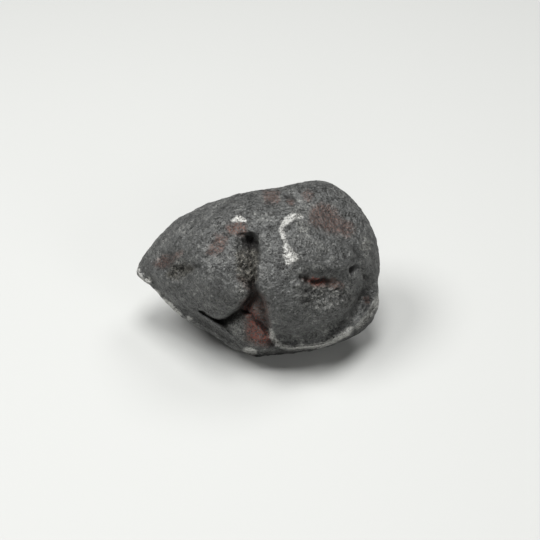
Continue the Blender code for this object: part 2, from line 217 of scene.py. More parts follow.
def curveThrough(points, closed=False, steps=6):
    points = np.array(points, float)
    count = len(points)
    made = []
    for i in range(count if closed else count - 1):
        if closed:
            a, b, c, d = (points[(i + k) % count] for k in (-1, 0, 1, 2))
        else:
            a, b, c, d = (points[min(max(i + k, 0), count - 1)] for k in (-1, 0, 1, 2))
        for t in np.arange(steps) / steps:
            bend = (2 * a - 5 * b + 4 * c - d) * t**2 + (3 * b - a - 3 * c + d) * t**3
            made.append(0.5 * (2 * b + (c - a) * t + bend))
    if not closed:
        made.append(points[-1])
    return np.array(made)


def distanceTo(curve, u, v, closed=False):
    nearest = np.full(len(u), np.inf)
    ends = np.roll(curve, -1, axis=0) if closed else curve[1:]
    for start, end in zip(curve, ends):
        run = end - start
        du, dv = u - start[0], v - start[1]
        share = np.clip((du * run[0] + dv * run[1]) / max(run @ run, 1e-9), 0, 1)
        nearest = np.minimum(nearest, np.hypot(du - share * run[0], dv - share * run[1]))
    return nearest


def isInside(curve, u, v):
    inside = np.zeros(len(u), bool)
    for start, end in zip(curve, np.roll(curve, -1, axis=0)):
        rise = end[1] - start[1]
        if abs(rise) > 1e-12:
            crosses = (start[1] > v) != (end[1] > v)
            inside ^= crosses & (u < start[0] + (v - start[1]) * (end[0] - start[0]) / rise)
    return inside


def swellHeight(swell, u, v):
    middleU, middleV, along, across, turn, rise = swell
    turn = math.radians(turn)
    du, dv = u - middleU, v - middleV
    x = du * math.cos(turn) + dv * math.sin(turn)
    y = dv * math.cos(turn) - du * math.sin(turn)
    return rise * bell(x, along) * bell(y, across)


def roundTheFace(angle, column):
    table = np.array(edgeForm, float)
    towards = np.concatenate((table[-2:, 0] - 360, table[:, 0], table[:2, 0] + 360))
    values = np.concatenate((table[-2:, column], table[:, column], table[:2, column]))
    curve = curveThrough(np.column_stack((towards, values)))
    return np.interp(angle, curve[:, 0], curve[:, 1])


def outlineReach(angle):
    # the true reach of the outline, and the same with its corners smoothed away
    curve = curveThrough(outline, closed=True)
    curveAngle = np.degrees(np.arctan2(curve[:, 1], curve[:, 0])) % 360
    allAngles = np.arange(0, 360, 1.0)
    reach = np.interp(allAngles, curveAngle, np.hypot(*curve.T), period=360)
    spread = bell(np.minimum(allAngles, 360 - allAngles), stoneShape["cornerSmoothing"])
    smooth = np.real(np.fft.ifft(np.fft.fft(reach) * np.fft.fft(spread / spread.sum())))
    exact = np.interp(angle, curveAngle, np.hypot(*curve.T), period=360)
    return exact, np.interp(angle, allAngles, smooth, period=360)


def lump(directions):
    # the stone with no relief, from directions on a ball
    x, y, z = directions.T
    angle = np.degrees(np.arctan2(y, x)) % 360
    reach, smoothReach = outlineReach(angle)
    sine = np.hypot(x, y)
    power = stoneShape["squareness"]
    squared = (sine**power + abs(z) ** power) ** (-1 / power)
    out = sine * squared
    evenOut = np.minimum(out * (reach / smoothReach) ** (1 - out**4), 1.0)
    height = (1 - evenOut**power) ** (1 / power)
    edge, faceRound, backRound = (roundTheFace(angle, column) for column in (1, 2, 3))
    faceCrown, backCrown = stoneShape["faceCrown"], stoneShape["backCrown"]
    face = faceCrown - (faceCrown - edge - faceRound) * evenOut**2 - faceRound * (1 - height)
    back = -backCrown + (backCrown + edge - backRound) * evenOut**2 + backRound * (1 - height)
    safe = np.maximum(sine, 1e-9)
    return reach * out * x / safe, reach * out * y / safe, np.where(z >= 0, face, back)


def rolledEdge(gap, width, drop):
    share = np.clip(1 - gap / width, 0, 1)
    return drop * (1 - np.sqrt(1 - share**2.5))


def cleftRelief(u, v):
    wall, lobeEdge = curveThrough(cleftWall), curveThrough(cleftLobeEdge)
    inside = isInside(np.vstack((wall, curveThrough(cleftMouth), lobeEdge)), u, v)
    fromWall, fromLobe = distanceTo(wall, u, v), distanceTo(lobeEdge, u, v)
    lobeRun = cleftShape["lobeRun"] + cleftShape["valleyRun"] * smoothStep(-4.0, -0.5, v)
    floorTable = np.array(cleftFloor[::-1])
    floorDepth = np.interp(v, floorTable[:, 0], floorTable[:, 1])
    fromMouth = distanceTo(curveThrough(cleftMouth), u, v)
    mouthShare = cleftShape["mouthShare"]
    floorDepth *= mouthShare + (1 - mouthShare) * smoothStep(0.0, cleftShape["mouthRun"], fromMouth)
    pastWall = smoothStep(0, cleftShape["wallRun"], fromWall)
    sunk = floorDepth * pastWall * smoothStep(0, lobeRun, fromLobe)

    # the crevice runs along the lobe's lower edge only
    along = smoothStep(-4.0, -7.0, v) * smoothStep(-15.0, -12.0, u)
    depth, width = cleftShape["creviceAndPaintedShade"]
    edge = cleftShape["lobeRun"]
    underLobe = smoothStep(0, edge, fromLobe) * bell(np.maximum(fromLobe - edge, 0), width)
    sunk += depth * along * underLobe * pastWall

    lobeShare = smoothStep(1.0, -4.0, v)
    wallRoll, lobeRoll = cleftShape["wallRoll"], cleftShape["lobeRoll"]
    foot = wallRoll[1] * bell(fromWall, cleftShape["wallFoot"])
    foot += lobeRoll[1] * lobeShare * bell(fromLobe, cleftShape["lobeFoot"])
    shoulders = rolledEdge(fromWall, *wallRoll) + lobeShare * rolledEdge(fromLobe, *lobeRoll)
    return -np.where(inside, sunk + foot, shoulders)


def rimRelief(u, v):
    curve = curveThrough(rim)
    above = isInside(np.vstack((curve, [(40, 40), (-40, 40)])), u, v)
    gap = distanceTo(curve, u, v)
    beyond, within = np.where(above, 0, gap), np.where(above, gap, 0)
    step = rimShape["step"] * (1 - 0.7 * smoothStep(24.0, 29.0, u)) * smoothStep(-12.0, -4.0, u)
    relief = rimShape["lip"] * bell(gap, rimShape["lipWidth"])
    relief -= step * smoothStep(0.0, rimShape["stepRun"], beyond)
    onRight = smoothStep(1.0, 6.0, u)
    pairs = zip(rimShape["leftHollow"], rimShape["rightHollow"])
    depth, middle, width = (left + (right - left) * onRight for left, right in pairs)
    fades = smoothStep(30.0, 24.0, u) * (1 - smoothStep(-6.0, -3.0, u) * smoothStep(4.0, 2.0, u))
    return relief - np.where(above, depth * fades * bell(within - middle, width), 0)


def sharpRelief(u, v):
    curve = curveThrough(boss, closed=True)
    into = np.where(isInside(curve, u, v), distanceTo(curve, u, v, closed=True), 0.0)
    relief = stoneShape["bossRise"] * smoothStep(0.0, stoneShape["bossSlope"], into)
    return relief + cleftRelief(u, v) + swellHeight(cleftPit, u, v) + rimRelief(u, v)


def noiseAt(places, scale, shift=(0.0, 0.0, 0.0)):
    return np.array([noise.noise(p) for p in (places / scale + shift).tolist()])


def pitsAt(places, scale):
    # 1 in the middle of each pit, 0 between them
    gaps = [noise.voronoi(p)[0][0] for p in (places / scale).tolist()]
    return np.clip(1.0 - np.array(gaps) / 0.42, 0.0, 1.0)


def makeBall(cuts):
    # a cube cut into a grid and blown up to a ball, as points and four-sided faces
    ball = bmesh.new()
    bmesh.ops.create_cube(ball, size=2.0)
    bmesh.ops.subdivide_edges(ball, edges=ball.edges[:], cuts=cuts, use_grid_fill=True)
    mesh = bpy.data.meshes.new("meteoriteStone")
    ball.to_mesh(mesh)
    ball.free()
    directions = readPlaces(mesh)
    directions = np.tan(directions * math.pi / 4)
    directions /= np.linalg.norm(directions, axis=1)[:, None]
    sine = np.hypot(directions[:, 0], directions[:, 1])
    turn = np.arctan2(sine, directions[:, 2])
    turn = turn - stoneShape["gatherOnFace"] * math.pi * np.sin(turn)
    safe = np.maximum(sine, 1e-9)
    directions[:, 0] *= np.sin(turn) / safe
    directions[:, 1] *= np.sin(turn) / safe
    directions[:, 2] = np.cos(turn)
    return mesh, directions


def readPlaces(mesh):
    places = np.empty(len(mesh.vertices) * 3)
    mesh.vertices.foreach_get("co", places)
    return places.reshape(-1, 3)


def writePlaces(mesh, places):
    mesh.vertices.foreach_set("co", places.ravel())
    mesh.update()


def normalsOf(places, corners):
    across = places[corners[:, 2]] - places[corners[:, 0]]
    along = places[corners[:, 3]] - places[corners[:, 1]]
    faceNormals = np.cross(across, along)
    normals = np.zeros_like(places)
    for k in range(4):
        np.add.at(normals, corners[:, k], faceNormals)
    return normals / np.maximum(np.linalg.norm(normals, axis=1), 1e-12)[:, None]


def evened(places, edges, share):
    # moves each point towards the middle of its neighbours
    total = np.zeros_like(places)
    count = np.zeros(len(places))
    for a, b in ((0, 1), (1, 0)):
        np.add.at(total, edges[:, a], places[edges[:, b]])
        np.add.at(count, edges[:, a], 1)
    return places + share * (total / count[:, None] - places)


mesh, directions = makeBall(stoneShape["gridCuts"])
corners = np.empty(len(mesh.loops), int)
mesh.loops.foreach_get("vertex_index", corners)
corners = corners.reshape(-1, 4)
edges = np.empty(len(mesh.edges) * 2, int)
mesh.edges.foreach_get("vertices", edges)
edges = edges.reshape(-1, 2)
say(f"ball of {len(mesh.vertices)} points")

u, v, w = lump(directions)
facing = directions[:, 2]      # 1 in the middle of the face, -1 in the middle of the back
faceRise = sum(swellHeight(swell, u, v) for swell in faceSwells.values())
bellyRise = sum(swellHeight(swell, u, v) for swell in bellySwells.values())
w = w + faceRise * smoothStep(-0.3, 0.3, facing)
w = w + sharpRelief(u, v) * smoothStep(-0.15, 0.2, facing)
w = w - bellyRise * smoothStep(0.0, -0.25, facing)
places = np.column_stack((u, v, w))
say("lump with its cleft, boss and rim")


def pressThumbprints(places, normals):
    size, shifts = thumbprintWander["size"], thumbprintWander["shifts"]
    wandering = np.column_stack([noiseAt(places, size, shift) for shift in shifts])
    uneven = places + thumbprintWander["reach"] * wandering
    deepest = np.zeros(len(places))
    for angle, behind, halfWidth, depth in thumbprints:
        turn, lean = math.radians(angle), math.radians(behind)
        towards = (math.cos(turn) * math.cos(lean), math.sin(turn) * math.cos(lean), -math.sin(lean))
        middle = np.column_stack(lump(np.array([towards])))
        away = np.linalg.norm(uneven - middle, axis=1) / halfWidth
        deepest = np.maximum(deepest, depth * np.maximum(1 - away**2, 0) ** 1.3)
    return places - normals * deepest[:, None], deepest


def carveLines(places, normals):
    depth = np.zeros(len(places))
    onTop = smoothStep(-0.1, 0.15, facing)
    uneven = noiseAt(places, 1.3, (2, 9, 5))
    for points, halfWidth, deep in grooves.values():
        gap = distanceTo(curveThrough(points), u, v) + 0.35 * noiseAt(places, 0.8, (8, 1, 1))
        depth += deep * (0.8 + 0.9 * uneven) * bell(gap, halfWidth * (0.75 + 0.7 * uneven))
    for points, halfWidth, rise in ridges.values():
        depth -= rise * bell(distanceTo(curveThrough(points), u, v), halfWidth)
    return places - normals * (depth * onTop)[:, None], depth * onTop


places, thumbDepth = pressThumbprints(places, normalsOf(places, corners))
places, lineDepth = carveLines(places, normalsOf(places, corners))
normals = normalsOf(places, corners)
(broadSize, broadHeight), (smallSize, smallHeight) = stoneShape["broadWeather"], stoneShape["smallWeather"]
weather = broadHeight * noiseAt(places, broadSize) + smallHeight * noiseAt(places, smallSize, (7, 3, 1))
places = places + normals * weather[:, None]
places = evened(places, edges, 0.5)
say("thumbprints, grooves and weathering")

# The camera looks square at the face. Marks are laid as it sees them, spread where the stone comes nearer.
cameraView = {
    "distance": 311.0,         # from the middle of the face
    "angle": 24.0,             # of the picture's side, in degrees
    "aside": 2.82,             # the picture's middle lies this far to the right of the stone's
}

# Marks on the face: finish, softness of the edge, strength, outline. The near-black marks are painted shade:
# in the top pit, in the hole at the valley's head, over the left rim and under the rim.
marks = {
    "chip above the cleft": ("bare", 0.25, 1.0, [
        (-6.6, 11.9), (-6.1, 12.6), (-5.3, 13.2), (-4.5, 13.3), (-3.7, 13.0), (-3.0, 12.3), (-3.0, 11.9),
        (-4.8, 11.8)]),
    "rust under the chip": ("rust", 0.6, 0.9, [
        (-6.7, 11.5), (-3.2, 11.5), (-2.8, 10.2), (-3.3, 8.1), (-4.7, 8.3), (-7.1, 8.8), (-8.0, 10.2)]),
    "rust on the ledge": ("rust", 0.6, 0.75, [
        (-10.2, 8.8), (-7.5, 8.3), (-8.0, 6.1), (-9.2, 4.2), (-12.1, 3.7), (-12.6, 4.9), (-10.9, 6.9)]),
    "rust beside the thumbprint": ("rust", 0.6, 0.8, [
        (-25.8, 1.2), (-24.6, 2.9), (-22.7, 3.7), (-20.9, 2.9), (-20.5, 1.7), (-21.7, 0.7), (-24.1, 0.5)]),
    "rust over the thumbprint": ("rust", 0.5, 0.6, [
        (-21.2, 3.4), (-19.7, 4.7), (-18.5, 4.7), (-19.0, 3.4), (-20.7, 2.5)]),
    "rust on the top edge": ("rust", 0.6, 0.7, [
        (1.3, 19.1), (3.1, 19.5), (5.0, 19.2), (4.9, 16.5), (1.7, 16.7)]),
    "rust in the top pit": ("rust", 0.4, 0.8, [
        (7.0, 17.1), (8.7, 16.9), (8.5, 15.9), (7.1, 16.2)]),
    "rust right of the top pit": ("rust", 0.6, 0.6, [
        (10.8, 18.4), (11.9, 19.4), (13.4, 18.9), (13.1, 17.1), (11.4, 16.9)]),
    "rust in the upper hollow": ("rust", 0.9, 0.75, [
        (13.2, 15.2), (15.7, 16.2), (18.7, 14.9), (20.2, 12.7), (23.0, 11.3), (23.4, 9.8), (21.8, 7.8),
        (20.6, 8.8), (17.5, 9.1), (15.1, 10.3), (12.9, 11.3), (12.6, 12.7)]),
    "rust along the boss crack": ("rust", 0.5, 0.9, [
        (10.9, -2.0), (13.1, -1.7), (15.6, -2.0), (18.7, -2.2), (20.7, -3.2), (20.0, -4.9), (17.0, -4.2),
        (14.1, -4.4), (11.6, -3.2)]),
    "red in the boss crack": ("red", 0.4, 0.9, [
        (12.4, -2.2), (14.6, -2.1), (16.5, -2.6), (15.3, -3.7), (13.6, -3.6)]),
    "rust spot on the right flank": ("rust", 0.4, 0.8, [
        (25.6, -6.9), (26.6, -6.4), (27.3, -7.1), (27.1, -8.1), (25.8, -8.0)]),
    "rust on the cleft floor": ("rust", 0.9, 0.8, [
        (-0.9, -4.7), (1.8, -7.1), (2.6, -10.3), (2.8, -18.1), (-0.1, -18.4), (-3.1, -17.4),
        (-3.3, -14.5), (-3.8, -11.5), (-4.5, -8.8), (-2.6, -6.6)]),
    "red on the cleft floor": ("red", 0.9, 0.45, [
        (-3.6, -9.3), (-1.6, -9.3), (0.9, -12.5), (2.6, -15.2), (2.6, -18.1), (-0.4, -17.9),
        (-2.6, -15.4), (-2.3, -12.5)]),
    "rust at the neck": ("rust", 0.5, 0.6, [
        (-5.3, -1.2), (-3.1, -2.0), (-1.1, -1.7), (-0.6, -3.9), (-1.1, -4.9), (-2.6, -5.1), (-4.3, -3.4)]),
    "soil in the valley": ("soil", 0.8, 1.0, [
        (-4.7, 4.7), (-0.6, 5.1), (-0.2, 1.5), (-0.5, -2.2), (-2.6, -2.9), (-4.5, -1.7), (-5.1, 1.2)]),
    # painted shade in the deep hole at the head of the cleft's valley
    "painted shade in the hole at the valley's head": ("creviceAndPaintedShade", 0.35, 1.0, [
        (-4.3, 7.8), (-2.8, 8.5), (-1.1, 8.1), (-0.1, 6.6), (0.2, 3.8), (-0.6, 4.7), (-1.8, 5.1),
        (-3.1, 5.3), (-4.0, 6.1)]),
    # painted shade on the underside below the rim, which faces down, away from the lamps
    "painted shade under the rim": ("creviceAndPaintedShade", 0.6, 0.85, [
        (-3.0, -21.2), (1.0, -20.8), (5.5, -20.0), (10.9, -20.0), (15.6, -19.7), (19.0, -18.3),
        (22.4, -16.6), (25.6, -14.2), (28.5, -11.0), (32.0, -9.0), (32.0, -16.0), (22.0, -24.0),
        (0.0, -26.0)]),
    # painted shade on the wall that drops from the shelf to the left rim
    "painted shade over the left rim": ("creviceAndPaintedShade", 0.9, 0.45, [
        (-15.3, -10.8), (-12.9, -11.7), (-10.9, -13.2), (-8.7, -14.9), (-6.7, -16.6), (-4.5, -18.3),
        (-3.4, -19.2), (-5.5, -18.9), (-8.9, -17.2), (-12.1, -15.0), (-14.8, -13.1), (-16.8, -11.8)]),
    # painted shade in the pit near the top
    "painted shade in the top pit": ("creviceAndPaintedShade", 0.35, 0.8, [
        (6.2, 18.3), (7.7, 18.6), (8.9, 17.8), (9.3, 16.8), (8.0, 17.0), (6.5, 17.6)]),
    "pale crust over the boss": ("bare", 0.4, 0.8, [
        (7.2, 12.6), (8.0, 13.6), (9.4, 13.8), (10.9, 13.5), (10.9, 12.5), (9.2, 12.4), (8.0, 11.9)]),
    "pale arc beside the boss": ("bare", 0.4, 0.75, [
        (7.3, 13.2), (5.8, 11.8), (5.2, 9.8), (6.0, 7.3), (6.4, 5.4), (7.5, 5.4), (6.9, 7.6), (6.4, 9.8),
        (7.0, 11.3), (8.1, 12.2)]),
    "pale crust at the arc's foot": ("bare", 0.4, 0.9, [
        (6.4, 5.8), (7.6, 6.0), (8.6, 4.7), (10.1, 2.8), (9.9, 2.2), (8.6, 2.1), (7.3, 1.2), (6.4, 2.7),
        (6.2, 4.4)]),
    "pale mottle on the boss": ("pale", 0.5, 0.5, [
        (9.9, 12.0), (11.1, 12.2), (12.5, 11.0), (12.4, 9.3), (10.9, 9.1), (9.7, 10.3)]),
    "pale spot on the right shoulder": ("pale", 0.5, 0.6, [
        (25.1, 5.4), (25.7, 7.6), (26.8, 7.7), (27.6, 6.1), (27.3, 4.5), (25.8, 4.8)]),
    "worn corner of the left lobe": ("pale", 0.6, 0.6, [
        (-4.3, -2.9), (-3.1, -3.7), (-2.7, -5.1), (-3.1, -6.4), (-4.3, -5.6), (-4.8, -3.9)]),
    "scuffed rim, middle": ("bare", 0.35, 0.85, [
        (5.5, -18.4), (8.0, -18.5), (10.9, -18.3), (13.8, -18.0), (16.3, -17.4), (17.8, -16.9),
        (17.8, -18.1), (15.1, -19.1), (10.9, -19.2), (7.7, -19.4), (5.5, -19.1)]),
    "scuffed rim, right": ("bare", 0.35, 0.8, [
        (17.8, -16.7), (20.2, -15.2), (22.7, -13.7), (23.4, -14.5), (21.4, -16.4), (18.7, -17.9),
        (17.8, -17.9)]),
    "scuffed rim, far right": ("bare", 0.35, 0.6, [
        (23.4, -13.7), (25.1, -12.0), (26.8, -9.8), (28.3, -7.3), (29.3, -5.6), (30.0, -7.1),
        (28.8, -9.8), (26.3, -13.0), (24.1, -14.7)]),
    "flake at the foot of the wall": ("bare", 0.3, 0.9, [
        (2.7, -14.2), (3.6, -14.7), (4.0, -16.2), (5.0, -17.6), (5.8, -18.6), (4.5, -18.6), (3.3, -17.4),
        (2.7, -15.7)]),
    "scuffed point": ("bare", 0.35, 0.85, [
        (-30.0, 1.2), (-29.3, 0.5), (-28.8, -1.0), (-28.1, -2.0), (-26.6, -2.0), (-26.5, -3.2),
        (-27.6, -3.4), (-29.0, -2.0), (-30.0, -0.2)]),
    "scuff beside the point": ("bare", 0.3, 0.8, [
        (-26.3, -4.9), (-25.1, -4.8), (-24.1, -6.1), (-25.1, -6.6)]),
    "scuff on the left rim": ("bare", 0.35, 0.85, [
        (-23.2, -7.1), (-21.9, -7.6), (-20.2, -9.3), (-19.0, -10.8), (-19.7, -11.5), (-21.4, -10.3),
        (-23.2, -8.3)]),
    "small scuff on the left rim": ("bare", 0.25, 0.7, [
        (-17.5, -11.4), (-16.8, -11.5), (-16.3, -12.1), (-17.3, -12.2)]),
    "scuff at the bottom": ("bare", 0.3, 0.8, [
        (-3.8, -19.2), (-2.3, -18.9), (-0.7, -19.5), (-0.7, -20.7), (-2.1, -21.1), (-3.6, -20.1)]),
    "grey shelf": ("pale", 0.9, 0.35, [
        (-10.4, -12.0), (-8.5, -11.6), (-6.5, -10.5), (-4.3, -8.8), (-3.3, -10.0), (-3.3, -13.2),
        (-2.8, -17.1), (-4.5, -16.9), (-6.7, -14.7), (-8.9, -13.0)]),
    "soil in the thumbprint": ("soil", 0.9, 0.7, [
        (-22.4, -0.5), (-20.5, 1.2), (-17.5, 1.4), (-15.8, 0.2), (-17.5, -1.0), (-19.5, -2.2),
        (-21.5, -1.9)]),
    "thumbprint bowl": ("rough", 0.8, 0.9, [
        (-21.4, 1.5), (-20.0, 2.5), (-17.8, 2.2), (-17.5, -0.2), (-19.0, -1.7), (-20.7, -1.7),
        (-21.7, -0.2)]),
    "rough valley": ("rough", 0.8, 1.0, [
        (-4.9, 6.9), (-0.4, 7.3), (0.0, 2.2), (-0.2, -2.5), (-2.3, -4.7), (-3.6, -3.2), (-5.5, 0.7)]),
    "rough lower hollow": ("rough", 1.5, 0.9, [
        (9.5, -4.0), (13.0, -3.5), (18.0, -3.8), (22.5, -5.0), (23.0, -8.0), (19.0, -9.5), (14.0, -10.0),
        (10.5, -8.5)]),
}


def pictured(places):
    spread = cameraView["distance"] / (cameraView["distance"] - places[:, 2])
    return places[:, 0] * spread, places[:, 1] * spread


def paintMarks(places, markKind):
    pictureU, pictureV = pictured(places)
    ragged = 0.55 * noiseAt(places, 1.1, (9, 2, 4)) + 0.35 * noiseAt(places, 0.45, (1, 8, 3))
    amount = np.zeros(len(places))
    for kind, softness, strength, outlinePoints in marks.values():
        if kind != markKind:
            continue
        curve = curveThrough(outlinePoints, closed=True, steps=4)
        within = distanceTo(curve, pictureU, pictureV, closed=True)
        within = np.where(isInside(curve, pictureU, pictureV), within, -within)
        within += ragged * min(1.0, 1.8 * softness)
        amount = np.maximum(amount, strength * smoothStep(-softness, softness, within))
    return amount * smoothStep(-0.25, 0.05, facing)


finishesAndShade = ("bare", "pale", "rust", "red", "soil", "creviceAndPaintedShade", "rough")
paint = {markKind: paintMarks(places, markKind) for markKind in finishesAndShade}
say("marks on the face")

# Wear away from the face: rust lies in the hollows, scuffs lie along whatever stands proud.
wear = {
    "rustSize": 9.0,
    "rustAnywhere": 0.25,
    "rustInHollows": 0.8,
    "scuffHeight": 0.10,       # how proud a place stands where its scuffs begin
    "scuffStrength": 0.7,
    "evenings": 24,            # passes that even the stone out, to find what stands proud
}
worn = places
for _ in range(wear["evenings"]):
    worn = evened(worn, edges, 0.7)
normals = normalsOf(places, corners)
proud = np.einsum("ij,ij->i", places - worn, normals)
away = smoothStep(0.1, -0.2, facing)
blotches = noiseAt(places, wear["rustSize"], (4, 17, 6)) + 0.35 * noiseAt(places, 2.2, (2, 2, 9))
rustShare = wear["rustAnywhere"] + wear["rustInHollows"] * smoothStep(0.3, 1.4, thumbDepth)
paint["rust"] = np.maximum(paint["rust"], away * smoothStep(0.05, 0.4, blotches) * rustShare)
scuffs = smoothStep(wear["scuffHeight"], 0.45, proud + 0.10 * noiseAt(places, 1.6, (5, 1, 7)))
paint["bare"] = np.maximum(paint["bare"], wear["scuffStrength"] * away * scuffs)
paint["rough"] = np.maximum(paint["rough"], away * smoothStep(0.4, 1.5, thumbDepth))
# painted shade along the carved grooves and cracks, darker where they are cut deeper
paint["creviceAndPaintedShade"] = np.maximum(0.8 * paint["creviceAndPaintedShade"], 0.75 * smoothStep(0.5, 1.5, lineDepth))
say("wear away from the face")

# The crust's own texture: size and height of each kind, and how strong it is on plain, rough and bare crust.
crustTexture = {
    "fine": (0.50, 0.12),
    "middle": (1.15, 0.17),
    "wrinkles": (1.5, 0.07),
    "pits": (1.7, 0.28),
    "onPlain": 0.75,
    "addedOnRough": 2.6,
    "lessOnBare": 0.35,
}


def crustHeight(places):
    size, height = crustTexture["fine"]
    made = height * noiseAt(places, size)
    size, height = crustTexture["middle"]
    made += height * noiseAt(places, size, (3, 3, 3))
    size, height = crustTexture["wrinkles"]
    made += height * (1.0 - 2.0 * np.abs(noiseAt(places, size, (6, 2, 8))))
    size, height = crustTexture["pits"]
    made -= height * pitsAt(places, size)
    strength = crustTexture["onPlain"] + crustTexture["addedOnRough"] * paint["rough"]
    return made * (strength - crustTexture["lessOnBare"] * paint["bare"])


places = places + normals * crustHeight(places)[:, None]
say("crust texture")

lean = math.radians(stoneShape["leanDegrees"])
u, v, w = places.T
depthwise, upwards = v * math.sin(lean) - w * math.cos(lean), v * math.cos(lean) + w * math.sin(lean)
standing = np.column_stack((u, depthwise, upwards))
standing[:, 2] = np.maximum(standing[:, 2], stoneShape["restHeight"])
lowest, highest = (np.array(corner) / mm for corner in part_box("meteorite"))
shift = (lowest + highest) / 2 - (standing.min(axis=0) + standing.max(axis=0)) / 2
shift[2] = -stoneShape["restHeight"]
writePlaces(mesh, (standing + shift) * mm)
mesh.shade_smooth()
for markKind, amount in paint.items():
    layer = mesh.attributes.new(markKind, "FLOAT", "POINT")
    layer.data.foreach_set("value", amount.astype(np.float32))
stone = bpy.data.objects.new("meteoriteStone", mesh)
bpy.context.scene.collection.objects.link(stone)
say(f"stone of {2 * len(mesh.polygons)} triangles standing on its foot")

ironLook = {
    "crustDark": (0.026, 0.026, 0.025),
    "crustMiddle": (0.092, 0.094, 0.091),
    "crustLight": (0.225, 0.227, 0.214),
    "soil": (0.110, 0.096, 0.068),
    "rustDeep": (0.038, 0.016, 0.011),
    "rustLight": (0.130, 0.060, 0.042),
    "red": (0.34, 0.055, 0.030),
    "pale": (0.300, 0.298, 0.270),
    "bare": (0.560, 0.556, 0.525),
    # near-black for painted shade: in the pits, the hole at the valley's head, over and under the rim, along
    # the carved grooves, and in the crust's crack lines and small pits
    "creviceAndPaintedShade": (0.010, 0.009, 0.008),
    "metal": 0.25,
    "dullness": 0.33,
    "grainHeight": 0.22,       # millimetres
}


def addNode(tree, kind, settings=None, **inputs):
    made = tree.nodes.new(kind)
    for name, value in (settings or {}).items():
        setattr(made, name, value)
    for name, value in inputs.items():
        socket = made.inputs[name.replace("_", " ")]
        if isinstance(value, bpy.types.NodeSocket):
            tree.links.new(value, socket)
        else:
            socket.default_value = value
    return made


def noiseOf(tree, where, perMm, detail=2.0, roughness=0.5, twist=0.0):
    made = addNode(tree, "ShaderNodeTexNoise", Vector=where, Scale=perMm, Detail=detail, Roughness=roughness,
                   Distortion=twist)
    return made.outputs["Fac"]


def calculate(tree, operation, first, second=0.0, clamp=False):
    made = addNode(tree, "ShaderNodeMath", {"operation": operation, "use_clamp": clamp})
    for socket, value in zip(made.inputs, (first, second)):
        if isinstance(value, bpy.types.NodeSocket):
            tree.links.new(value, socket)
        else:
            socket.default_value = value
    return made.outputs[0]


def ramped(tree, value, low, high, least=0.0, most=1.0):
    smooth = {"interpolation_type": "SMOOTHSTEP"}
    made = addNode(tree, "ShaderNodeMapRange", smooth, Value=value, From_Min=low, From_Max=high,
                   To_Min=least, To_Max=most)
    return made.outputs[0]


def weighed(tree, *shares):
    # adds up values, each times its share
    total = None
    for value, share in shares:
        part = calculate(tree, "MULTIPLY", value, share)
        total = part if total is None else calculate(tree, "ADD", total, part)
    return total


def blended(tree, share, first, second):
    made = tree.nodes.new("ShaderNodeMix")
    made.data_type = "RGBA"
    for socket, value in ((made.inputs[0], share), (made.inputs[6], first), (made.inputs[7], second)):
        if isinstance(value, bpy.types.NodeSocket):
            tree.links.new(value, socket)
        else:
            socket.default_value = value if isinstance(value, float) else (*value, 1.0)
    return made.outputs[2]


def crackLines(tree, where, perMm, width, cover):
    # thin lines along the middle values of a twisted noise, in patches only
    twisted = noiseOf(tree, where, perMm, 3.0, 0.6, 0.7)
    offLine = calculate(tree, "ABSOLUTE", calculate(tree, "SUBTRACT", twisted, 0.5))
    lines = ramped(tree, offLine, width, width * 0.2)
    patches = noiseOf(tree, where, perMm * 0.55, 1.0)
    return calculate(tree, "MULTIPLY", lines, ramped(tree, patches, cover, cover + 0.10))


